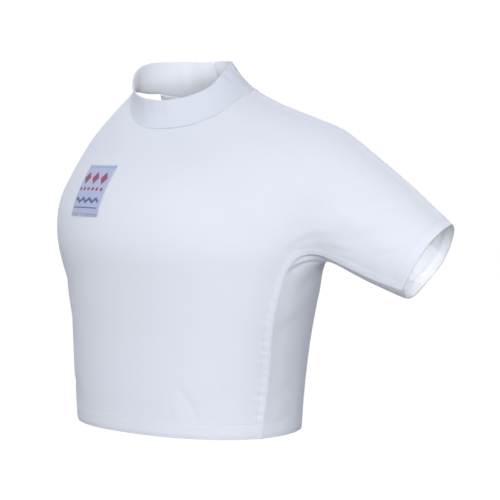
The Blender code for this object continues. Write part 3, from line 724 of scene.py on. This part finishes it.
# %% [markdown]
# A felled seam is four layers of cloth, so it stands proud of the panels it joins, and both of them drop
# away from it. That soft ridge is what makes the side panel look set back from the front. Both skins rise
# by the same amount at their shared edge, so the seam stays shut. A hem does the opposite: its lowest part
# rolls in towards the body, so its rise is below nothing. Rise and reach are in millimetres.

# %% Ridges along the felled seams
RIDGES = [
    ("front", "side seam", 1.4, 16),
    ("side_left", "front seam", 1.4, 18),
    ("back_left", "side seam", 1.4, 16),
    ("side_left", "back seam", 1.4, 18),
    ("front", "shoulder seam", 1.0, 10),
    ("back_left", "shoulder seam", 1.0, 10),
    ("front", "right seam", 1.2, 12),
    ("back_right", "right seam", 1.2, 12),
    ("collar", "neck", 0.9, 5),
    *((node, "hem", -1.4, 6) for node in ("front", "side_left", "back_left", "back_right")),
    *((node, "cuff", -0.8, 8) for node in ("front", "side_left", "back_left")),
]


def raise_ridge(node, edge, rise, reach):
    points, normals = points_of(skins[node].data), normals_of(skins[node].data)
    away = distance_from(edges[(node, edge)], points) / (reach * MM)
    lift = rise * MM * np.clip(1 - away, 0, 1) ** 2
    place_points(skins[node].data, points + normals * lift[:, None])


for ridge in RIDGES:
    raise_ridge(*ridge)
bpy.context.view_layer.update()
runs, edges = find_edges()
print(len(RIDGES), "ridges raised")

# %% [markdown]
# ## Hems and thickness
#
# A hem is the cloth's own edge, folded in and sewn down. From outside it shows as a band that is a touch
# fuller, with a shallow step where the folded layer ends. A felled seam is folded over and sewn down flat
# beside its join, so it shows as a narrow raised band. Each skin keeps three values for its finish: how far
# a point lies from the nearest hemmed edge, as a share of that hem's height, how far it lies from the
# nearest seam, and how far from the nearest felled seam. A fourth value says how plainly the hem shows,
# since the cuff's is hardly seen. Then the skin is given its thickness, on the inside.

# %% Distances from hems and seams
HEM_HEIGHTS = {"hem": 21 * MM, "cuff": 14 * MM, "armhole": 10 * MM, "closing edge": 12 * MM}
HEM_STRENGTHS = {"hem": 0.8, "cuff": 0.25, "armhole": 0.8, "closing edge": 1.0}
PLAIN_EDGES = {"rim"}
FELLED = [
    ("front", "side seam"),
    ("front", "shoulder seam"),
    ("front", "right seam"),
    ("back_left", "side seam"),
]
SEAM_REACH = 30 * MM
NO_HEM = 9.0


def measure_edges(node):
    """Keeps each point's distance from hems and seams on the skin."""
    mesh = skins[node].data
    points = points_of(mesh)
    kept = {
        "hem_share": np.full(len(points), NO_HEM),
        "hem_strength": np.ones(len(points)),
        "from_seam": np.full(len(points), SEAM_REACH),
        "from_fell": np.full(len(points), SEAM_REACH),
    }
    for (owner, name), run in edges.items():
        if owner != node:
            continue
        away = distance_from(run, points)
        if name in HEM_HEIGHTS:
            share = away / HEM_HEIGHTS[name]
            nearer = share < kept["hem_share"]
            kept["hem_share"][nearer] = share[nearer]
            kept["hem_strength"][nearer] = HEM_STRENGTHS[name]
        elif name not in PLAIN_EDGES:
            kept["from_seam"] = np.minimum(kept["from_seam"], away)
        if (owner, name) in FELLED:
            kept["from_fell"] = np.minimum(kept["from_fell"], away)
    for name, values in kept.items():
        attribute = mesh.attributes.new(name, "FLOAT", "POINT")
        attribute.data.foreach_set("value", values.astype(np.float32))
    return kept["hem_share"]


hem_shares = {node: measure_edges(node) for node in skins}

# %% Thickness
CLOTH = 2.0 * MM
HEMMED_CLOTH = 3.0 * MM
SHARP_TURN = math.radians(50)


def thicken(node):
    """Gives a skin its inside, thicker under its hems, and smooth shading except at sharp turns."""
    skin = skins[node]
    hemmed = skin.vertex_groups.new(name="hemmed")
    for number, share in enumerate(hem_shares[node]):
        hemmed.add([number], 1.0 if share < 1 else 0.0, "REPLACE")
    wall = skin.modifiers.new("wall", "SOLIDIFY")
    wall.thickness = HEMMED_CLOTH
    wall.vertex_group = "hemmed"
    wall.thickness_vertex_group = CLOTH / HEMMED_CLOTH
    wall.offset = -1
    wall.use_even_offset = True
    outer_count = len(skin.data.polygons)
    apply(skin, wall)
    for face in skin.data.polygons[outer_count : 2 * outer_count]:
        face.material_index = 1
    only(skin)
    bpy.ops.object.shade_smooth_by_angle(angle=SHARP_TURN)
    print(f"{skin.name}: {len(skin.data.polygons)} faces")


for node in skins:
    thicken(node)

# %% [markdown]
# ## Sewing
#
# Lockstitch sewing shows as a row of short thread lengths, each one sunk a little into the cloth. One
# stitch is modelled: a small sphere, drawn out long and pressed flat, with few faces because there are
# thousands of it. A row follows an edge at its own inset, in millimetres. Each copy is set down on the
# nearest point of the cloth, turned along the row, and all the copies on one panel are one mesh.

# %% One stitch
STITCH_LENGTH = 2.5 * MM
STITCH_WIDTH = 0.55 * MM
STITCH_HEIGHT = 0.40 * MM
STITCH_SPACING = 3.1 * MM


def one_stitch():
    bpy.ops.object.select_all(action="DESELECT")
    lying = (0, math.radians(90), 0)
    bpy.ops.mesh.primitive_uv_sphere_add(segments=6, ring_count=4, radius=0.5, rotation=lying)
    stitch = bpy.context.object
    bpy.ops.object.transform_apply(rotation=True)
    bpy.ops.object.mode_set(mode="EDIT")
    bpy.ops.mesh.select_all(action="SELECT")
    bpy.ops.transform.resize(value=(STITCH_LENGTH, STITCH_WIDTH, STITCH_HEIGHT))
    bpy.ops.object.mode_set(mode="OBJECT")
    shape = points_of(stitch.data)
    faces = [tuple(face.vertices) for face in stitch.data.polygons]
    bpy.data.objects.remove(stitch)
    return shape, faces


stitch_shape, stitch_faces = one_stitch()
print("one stitch:", len(stitch_faces), "faces,", np.ptp(stitch_shape, axis=0) * 1e3, "mm")

# %% Rows of stitches
Row = namedtuple("Row", "node edge inset inside", defaults=[False])
FELL_ROWS = (1.6, 8.0)
ROWS = [
    *(Row(node, "hem", 19) for node in ("front", "back_left", "back_right", "side_left")),
    *(Row(node, "cuff", 12) for node in ("front", "back_left", "side_left")),
    *(Row(node, "armhole", 8.5) for node in ("front", "back_right")),
    *(Row(node, name, inset) for node, name in FELLED for inset in FELL_ROWS),
    Row("back_left", "closing edge", 2.0),
    Row("back_left", "closing edge", 11.0),
    Row("collar", "neck", 2.0),
    Row("collar", "rim", 5.0, inside=True),
]


def row_places(skin, run, inset, spacing, inside=False):
    """Where each stitch of a row lies, and the three directions it is turned to."""
    points, along = spaced(run, spacing)
    turned = []
    for place, ahead in zip(points, along):
        place, normal = (np.array(v) for v in onto(skin, place + inset * MM * inward(skin, place, ahead)))
        if inside:
            place, normal = place - CLOTH * normal, -normal
        side = np.cross(normal, ahead)
        side /= np.linalg.norm(side)
        turned.append((place, np.cross(side, normal), side, normal))
    return turned


def lay_copies(name, turned, shape, faces):
    """One mesh of a copy of this shape at every place."""
    points = [place + shape @ np.array([ahead, side, normal]) for place, ahead, side, normal in turned]
    firsts = range(0, len(turned) * len(shape), len(shape))
    copies = [tuple(number + first for number in face) for first in firsts for face in faces]
    mesh = bpy.data.meshes.new(name)
    mesh.from_pydata(np.concatenate(points).tolist(), [], copies)
    piece = bpy.data.objects.new(name, mesh)
    bpy.context.scene.collection.objects.link(piece)
    only(piece)
    bpy.ops.object.shade_smooth()
    print(f"{name}: {len(turned)} copies, {len(mesh.polygons)} faces")
    return piece


stitches = {}
for node in dict.fromkeys(row.node for row in ROWS):
    turned = []
    for row in ROWS:
        if row.node == node:
            run = edges[(node, row.edge)]
            turned += row_places(skins[node], run, row.inset, STITCH_SPACING, row.inside)
    stitches[node] = lay_copies(node + "_stitches", turned, stitch_shape, stitch_faces)

# %% [markdown]
# The badge is woven apart and held on by a satin border: thread laid side by side across its raw edge.
# The same stitch does for it, set across the edge instead of along it, and much closer together.

# %% The badge's border
BORDER_SPACING = 0.6 * MM
BORDER_INSET = 1.1
label_turned = []
for run in runs["chest_label"]:
    for place, ahead, side, normal in row_places(skins["chest_label"], run, BORDER_INSET, BORDER_SPACING):
        label_turned.append((place, side, -ahead, normal))
stitches["chest_label"] = lay_copies("chest_label_stitches", label_turned, stitch_shape, stitch_faces)

# %% [markdown]
# ## Finishes
#
# Close up, this cloth is a steep twill: fine slanting ribs about three quarters of a millimetre apart. From
# further away only its small unevenness shows, with its hems, its flat seams and the slight puckering
# beside each row of sewing. Each effect is a node group, built once, which puts out a height or a shade, so
# that the cloth, the collar and the badge can share it with values of their own.

# %% Helpers for nodes
def new_group(name, inputs, outputs):
    """A node group with these number inputs and outputs, and its two ends."""
    group = bpy.data.node_groups.new(name, "ShaderNodeTree")
    for label, value in inputs.items():
        socket = group.interface.new_socket(label, in_out="INPUT", socket_type="NodeSocketFloat")
        socket.default_value = value
    for label in outputs:
        group.interface.new_socket(label, in_out="OUTPUT", socket_type="NodeSocketFloat")
    return group, group.nodes.new("NodeGroupInput").outputs, group.nodes.new("NodeGroupOutput").inputs


def is_socket(value):
    return isinstance(value, bpy.types.NodeSocket)


def feed(value, socket):
    """Links an output to a socket, or sets a plain number on it."""
    if is_socket(value):
        socket.id_data.links.new(value, socket)
    else:
        socket.default_value = value


def maths(operation, *values):
    """A maths node, in the tree that its first linked value belongs to."""
    tree = next(value.id_data for value in values if is_socket(value))
    node = tree.nodes.new("ShaderNodeMath")
    node.operation = operation
    for value, socket in zip(values, node.inputs):
        feed(value, socket)
    return node.outputs["Value"]


def times(value, factor):
    return maths("MULTIPLY", value, factor)


def apart(value, other):
    """How far apart two values are."""
    return maths("ABSOLUTE", maths("SUBTRACT", value, other))


def total(*values):
    found = values[0]
    for value in values[1:]:
        found = maths("ADD", found, value)
    return found


def ramp(value, low, high, at_low=0.0, at_high=1.0):
    """A smooth change from one value to another between two limits."""
    node = value.id_data.nodes.new("ShaderNodeMapRange")
    node.interpolation_type = "SMOOTHSTEP"
    labels = ("Value", "From Min", "From Max", "To Min", "To Max")
    for label, given in zip(labels, (value, low, high, at_low, at_high)):
        feed(given, node.inputs[label])
    return node.outputs["Result"]


def fade(value, low, high, strength=1):
    """The strength up to the low limit, falling to nothing at the high one."""
    return ramp(value, low, high, strength, 0)


def kept_value(tree, name):
    node = tree.nodes.new("ShaderNodeAttribute")
    node.attribute_name = name
    return node.outputs["Fac"]


def flat_coordinates(tree, turn=0.0, stretch=(1, 1, 1)):
    """The cloth's own flat pattern in metres, turned and stretched."""
    flat = tree.nodes.new("ShaderNodeUVMap")
    flat.uv_map = "cut"
    mapping = tree.nodes.new("ShaderNodeMapping")
    mapping.inputs["Rotation"].default_value = (0, 0, math.radians(turn))
    mapping.inputs["Scale"].default_value = stretch
    feed(flat.outputs["UV"], mapping.inputs["Vector"])
    return mapping.outputs["Vector"]


def noise(coordinates, scale, detail=2.0):
    node = coordinates.id_data.nodes.new("ShaderNodeTexNoise")
    feed(coordinates, node.inputs["Vector"])
    node.inputs["Scale"].default_value = scale
    node.inputs["Detail"].default_value = detail
    return node.outputs["Fac"]


# %% [markdown]
# The weave is two wave textures over the flat pattern: the slanting ribs of the twill, and finer yarns that
# cross them. A wave texture of scale 1 repeats every pi / 10, which sets the scale for a rib in metres.

# %% The twill weave
WAVE_UNIT = 2 * math.pi / 20
TWILL_SLANT = 27
TWILL_BANDS = ((TWILL_SLANT, 1.0), (90, 0.45))
RIB_WEIGHT, YARN_WEIGHT = 0.7, 0.3


def twill_group():
    """Slanting ribs crossed by finer yarns. Rib is the distance between ribs, in metres."""
    tree, given, out = new_group("twill", {"Rib": 0.75 * MM, "Depth": 0.05 * MM}, ["Height", "Thread"])
    bands = []
    for turn, share in TWILL_BANDS:
        wave = tree.nodes.new("ShaderNodeTexWave")
        wave.bands_direction = "X"
        feed(flat_coordinates(tree, turn), wave.inputs["Vector"])
        pitch = times(given["Rib"], share)
        feed(maths("DIVIDE", WAVE_UNIT, pitch), wave.inputs["Scale"])
        bands.append(wave.outputs["Fac"])
    thread = total(times(bands[0], RIB_WEIGHT), times(bands[1], YARN_WEIGHT))
    feed(thread, out["Thread"])
    feed(times(thread, given["Depth"]), out["Height"])
    return tree


TWILL = twill_group()

# %% [markdown]
# Hems and felled seams are raised bands, a seam is a groove, and each row of sewing lies in a dip. All of
# them come from the values that the skins keep. A hem's limits are shares of its height, the others metres.

# %% Hems, flat seams and sewing
HEM_END = (0.99, 1.05)
HEM_SEWING = 0.905
HEM_DIP = 0.08
FELL_END = (9.0 * MM, 10.0 * MM)
FELL_DIPS = ((FELL_ROWS[1] * MM, 1.3 * MM), (FELL_ROWS[0] * MM, 1.2 * MM))
GROOVE_REACH = 1.5 * MM


def sewn_group():
    """The bands of hems and felled seams, the groove of a seam, and the dip under each row of sewing."""
    inputs = {"Step": 0.6 * MM, "Groove": 0.3 * MM, "Dip": 0.25 * MM}
    tree, given, out = new_group("sewn_edges", inputs, ["Height", "Doubled", "Seam"])
    kept = [kept_value(tree, name) for name in ("hem_share", "from_seam", "from_fell")]
    hem_share, from_seam, from_fell = kept
    hem = times(fade(hem_share, *HEM_END), kept_value(tree, "hem_strength"))
    fell = fade(from_fell, *FELL_END)
    groove = fade(from_seam, 0, GROOVE_REACH)
    dips = [fade(apart(hem_share, HEM_SEWING), 0, HEM_DIP)]
    dips += [fade(apart(from_fell, row), 0, reach) for row, reach in FELL_DIPS]
    doubled = maths("MAXIMUM", hem, fell)
    raised = times(doubled, given["Step"])
    sunk = times(groove, given["Groove"])
    dipped = times(total(*dips), given["Dip"])
    level = maths("SUBTRACT", maths("SUBTRACT", raised, sunk), dipped)
    # The seam mask put out here darkens the cloth's colour in the groove: painted shade.
    for value, label in ((level, "Height"), (doubled, "Doubled"), (groove, "Seam")):
        feed(value, out[label])
    return tree


SEWN = sewn_group()

# %% [markdown]
# No cloth is quite even. Soft waves run all over it, small puckers gather beside its sewing, and here and
# there a yarn is thicker. Each is a noise, and the yarns' noise is drawn out along the warp and the weft.

# %% Small unevenness and puckering
WAVE_SCALE, PUCKER_SCALE, YARN_SCALE = 26, 120, 1700
YARN_SQUEEZE = 0.07
PUCKERS_ON_HEM, HEM_SPREAD = 0.9, 0.5
FELL_SPREAD = (2 * MM, 18 * MM)
SEAM_SPREAD, SEAM_PUCKERS = 9 * MM, 0.6
WAVE_SHADE, SLUB_SHADE = 0.4, 0.3


def uneven_group():
    """Shallow waves all over, small puckers beside the sewing, and slubs where a yarn is thicker."""
    inputs = {"Waves": 0.25 * MM, "Puckers": 0.30 * MM, "Slubs": 0.02 * MM}
    tree, given, out = new_group("uneven_cloth", inputs, ["Height", "Shade"])
    place = tree.nodes.new("ShaderNodeTexCoord").outputs["Object"]
    waves = noise(place, WAVE_SCALE)
    puckers = noise(place, PUCKER_SCALE)
    warp = noise(flat_coordinates(tree, 0, (1, YARN_SQUEEZE, 1)), YARN_SCALE)
    weft = noise(flat_coordinates(tree, 0, (YARN_SQUEEZE, 1, 1)), YARN_SCALE)
    slubs = maths("ADD", warp, weft)
    by_hem = fade(apart(kept_value(tree, "hem_share"), PUCKERS_ON_HEM), 0, HEM_SPREAD)
    by_fell = fade(kept_value(tree, "from_fell"), *FELL_SPREAD)
    by_seam = fade(kept_value(tree, "from_seam"), 0, SEAM_SPREAD, SEAM_PUCKERS)
    by_sewing = maths("MAXIMUM", maths("MAXIMUM", by_hem, by_fell), by_seam)
    parts = [
        times(waves, given["Waves"]),
        times(times(puckers, by_sewing), given["Puckers"]),
        times(slubs, given["Slubs"]),
    ]
    feed(total(*parts), out["Height"])
    shade = total(times(waves, WAVE_SHADE), times(slubs, SLUB_SHADE))
    feed(shade, out["Shade"])
    return tree


UNEVEN = uneven_group()

# %% [markdown]
# The white of the cloth comes from its dye, so its colour hardly changes: a touch with the weave and
# lighter where it is doubled. In a seam's groove it is painted darker, as painted shade. The inside is a
# plainer lining, painted whiter as painted light, so that the insides of the collar and the cuff look
# brighter.

# %% A material from the groups
SPECULAR = 0.3
SHEEN_ROUGHNESS = 0.5
BASE_SHADE = 0.965
# The seam's shade value darkens the colour in a seam's groove: painted shade.
UNEVEN_SHADE, THREAD_SHADE, DOUBLED_SHADE, PAINTED_SEAM_SHADE = 0.035, 0.02, 0.03, -0.03
CLOTH_ROUGHNESS = (0.92, 0.80)


def place_group(tree, group, **values):
    node = tree.nodes.new("ShaderNodeGroup")
    node.node_tree = group
    for label, value in values.items():
        node.inputs[label].default_value = value
    return node.outputs


def shaded(colour, shade):
    """A colour made lighter or darker by a shade, where 1 leaves it as it is."""
    node = shade.id_data.nodes.new("ShaderNodeVectorMath")
    node.operation = "SCALE"
    feed(colour, node.inputs[0])
    feed(shade, node.inputs["Scale"])
    return node.outputs["Vector"]


def bumped(height, shader):
    bump = height.id_data.nodes.new("ShaderNodeBump")
    bump.inputs["Strength"].default_value = 1.0
    bump.inputs["Distance"].default_value = 1.0
    feed(height, bump.inputs["Height"])
    feed(bump.outputs["Normal"], shader.inputs["Normal"])


def new_material(name, sheen=0.05):
    material, shader = shader_of(name)
    shader.inputs["Specular IOR Level"].default_value = SPECULAR
    shader.inputs["Sheen Weight"].default_value = sheen
    shader.inputs["Sheen Roughness"].default_value = SHEEN_ROUGHNESS
    return material, material.node_tree, shader


def twill_material(name, colour, rib, step, waves):
    """White twill: a colour that varies very slightly, painted darker in a seam's groove as painted shade,
    with ribs, hems, seams and puckers in its relief.
    """
    material, tree, shader = new_material(name)
    twill = place_group(tree, TWILL, Rib=rib)
    sewn = place_group(tree, SEWN, Step=step)
    uneven = place_group(tree, UNEVEN, Waves=waves)
    parts = [
        BASE_SHADE,
        times(uneven["Shade"], UNEVEN_SHADE),
        times(twill["Thread"], THREAD_SHADE),
        times(sewn["Doubled"], DOUBLED_SHADE),
        # painted shade in a seam's groove
        times(sewn["Seam"], PAINTED_SEAM_SHADE),
    ]
    feed(shaded(colour, total(*parts)), shader.inputs["Base Color"])
    feed(ramp(twill["Thread"], 0, 1, *CLOTH_ROUGHNESS), shader.inputs["Roughness"])
    bumped(total(twill["Height"], sewn["Height"], uneven["Height"]), shader)
    return material


WHITE = (0.82, 0.84, 0.90)
COLLAR_WHITE = (0.78, 0.80, 0.875)
# The lining's white is painted lighter than the cloth's: painted light on the shaded insides.
LINING_WHITE_WITH_PAINTED_LIGHT = (0.94, 0.95, 0.98)
white_twill = twill_material("white_twill", WHITE, rib=0.75 * MM, step=0.6 * MM, waves=0.25 * MM)
collar_twill = twill_material("collar_twill", COLLAR_WHITE, rib=0.6 * MM, step=0.4 * MM, waves=0.20 * MM)
lining_with_painted_light = twill_material("lining_with_painted_light", LINING_WHITE_WITH_PAINTED_LIGHT, rib=0.5 * MM, step=0.4 * MM, waves=0.25 * MM)

# %% [markdown]
# The thread is a shade brighter and smoother than the cloth. Its twist is a fine unevenness in its relief.

# %% The sewing thread
TWIST_SCALE = 2600
TWIST_RANGE = (0.3, 0.7)
TWIST_DEPTH = 0.05 * MM


def thread_material(name, colour):
    material, tree, shader = new_material(name, sheen=0.1)
    place = tree.nodes.new("ShaderNodeTexCoord").outputs["Object"]
    twist = noise(place, TWIST_SCALE)
    shade = ramp(twist, *TWIST_RANGE, 0.92, 1.0)
    feed(shaded(colour, shade), shader.inputs["Base Color"])
    feed(ramp(twist, *TWIST_RANGE, 0.6, 0.5), shader.inputs["Roughness"])
    bumped(times(twist, TWIST_DEPTH), shader)
    return material


white_thread = thread_material("white_thread", (0.88, 0.89, 0.94))
border_thread = thread_material("border_thread", (0.60, 0.63, 0.76))

# %% [markdown]
# The badge is a tight satin weave in pale blue grey. Its figures are plain weaver's shapes: a row of red
# lozenges with a row of small ones below it, a blue zigzag and a thin blue line, between a blue bar at the
# top and a grey one at the foot. Each is a mask worked out from how far across and how far up a point lies.

# %% The badge's weave
GROUND = (0.50, 0.54, 0.74)
RED = (0.34, 0.075, 0.15)
BLUE = (0.12, 0.14, 0.32)
TOP_BAR = (0.36, 0.45, 0.68)
FOOT_BAR = (0.38, 0.41, 0.56)
LOZENGE_START = 0.02
ZIGZAG_HALF, ZIGZAG_RISE = 0.12, 0.6
FIGURES_END = (0.43, 0.45)
FIGURE_RELIEF = 0.15 * MM


def lozenges(across, up, pitch, height, half_width, half_height):
    """A row of lozenges at this height."""
    from_start = maths("SUBTRACT", across, LOZENGE_START)
    along = maths("SUBTRACT", maths("PINGPONG", from_start, pitch / 2), pitch / 2)
    width_share = maths("DIVIDE", maths("ABSOLUTE", along), half_width)
    height_share = maths("DIVIDE", apart(up, height), half_height)
    return fade(maths("ADD", width_share, height_share), 0.9, 1.1)


def strip(up, height, half_height):
    """A level strip at this height."""
    return fade(apart(up, height), half_height * 0.7, half_height * 1.3)


def badge_material():
    material, tree, shader = new_material("badge_weave", sheen=0.15)
    flat = tree.nodes.new("ShaderNodeUVMap")
    flat.uv_map = "badge"
    parts = tree.nodes.new("ShaderNodeSeparateXYZ")
    feed(flat.outputs["UV"], parts.inputs["Vector"])
    across, up = parts.outputs["X"], parts.outputs["Y"]
    zigzag = times(maths("PINGPONG", across, ZIGZAG_HALF), ZIGZAG_RISE)
    figured = fade(apart(across, 0.5), *FIGURES_END)
    figures = [
        (lozenges(across, up, pitch=0.32, height=0.72, half_width=0.12, half_height=0.13), RED),
        (lozenges(across, up, pitch=0.16, height=0.50, half_width=0.055, half_height=0.045), RED),
        (strip(maths("SUBTRACT", up, zigzag), 0.25, 0.03), BLUE),
        (strip(up, 0.15, 0.010), BLUE),
    ]
    figures = [(times(mask, figured), shown) for mask, shown in figures]
    figures += [(strip(up, 0.97, 0.035), TOP_BAR), (strip(up, 0.02, 0.030), FOOT_BAR)]
    colour, relief = (*GROUND, 1), 0.0
    for mask, shown in figures:
        mix = tree.nodes.new("ShaderNodeMix")
        mix.data_type = "RGBA"
        feed(mask, mix.inputs["Factor"])
        feed(colour, mix.inputs["A"])
        feed((*shown, 1), mix.inputs["B"])
        colour = mix.outputs["Result"]
        relief = maths("ADD", relief, mask)
    twill = place_group(tree, TWILL, Rib=0.5 * MM, Depth=0.06 * MM)
    shade = ramp(twill["Thread"], 0, 1, 0.92, 1.04)
    feed(shaded(colour, shade), shader.inputs["Base Color"])
    feed(ramp(twill["Thread"], 0, 1, 0.7, 0.55), shader.inputs["Roughness"])
    bumped(maths("ADD", twill["Height"], times(relief, FIGURE_RELIEF)), shader)
    return material


badge_weave = badge_material()

# %% Each piece gets its finish
CLOTHS = {"collar": collar_twill, "chest_label": badge_weave}
THREADS = {"chest_label": border_thread}
for node, skin in skins.items():
    skin.data.materials.append(CLOTHS.get(node, white_twill))
    # The lining's whiter colour is painted light on the inner face.
    skin.data.materials.append(lining_with_painted_light)
for node, sewing in stitches.items():
    sewing.data.materials.append(THREADS.get(node, white_thread))
print("finishes:", sorted(material.name for material in bpy.data.materials if material.users))

# %% [markdown]
# ## The pieces join the jacket
#
# Every shell stands for its packed panel, which is hidden, and joins the jacket with the sewing that goes
# with it.

# %% The pieces join the jacket
for node, skin in skins.items():
    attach(skin, "root")
    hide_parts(node)
    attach(stitches[node], "root")
